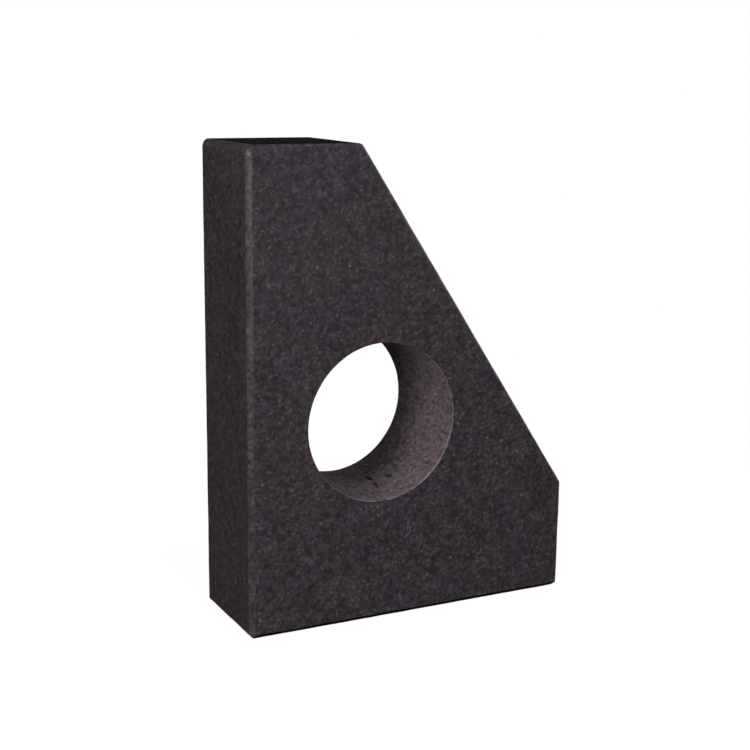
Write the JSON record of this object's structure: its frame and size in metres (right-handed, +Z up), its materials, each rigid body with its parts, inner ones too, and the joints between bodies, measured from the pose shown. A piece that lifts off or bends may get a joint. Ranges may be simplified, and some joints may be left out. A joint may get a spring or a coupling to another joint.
{
  "type": "granite tri-square",
  "caption": "Granite tri-square: a tall right-angled block with one slanted side and a round hole through it, ground square for checking right angles.",
  "frame": {"origin": "centre of the base, in the plane that the block stands on", "axes": "+Z up along the upright face, +X from the upright face towards the nose, +Y from the front face to the back face, along the hole"},
  "size_m": [0.15, 0.05, 0.2],
  "materials": {
    "black_granite": "fine-ground matt black granite, lapped on the faces and rough where the core drill passed"
  },
  "bodies": {
    "root": {"tri_square": "black_granite"}
  },
  "joints": []
}
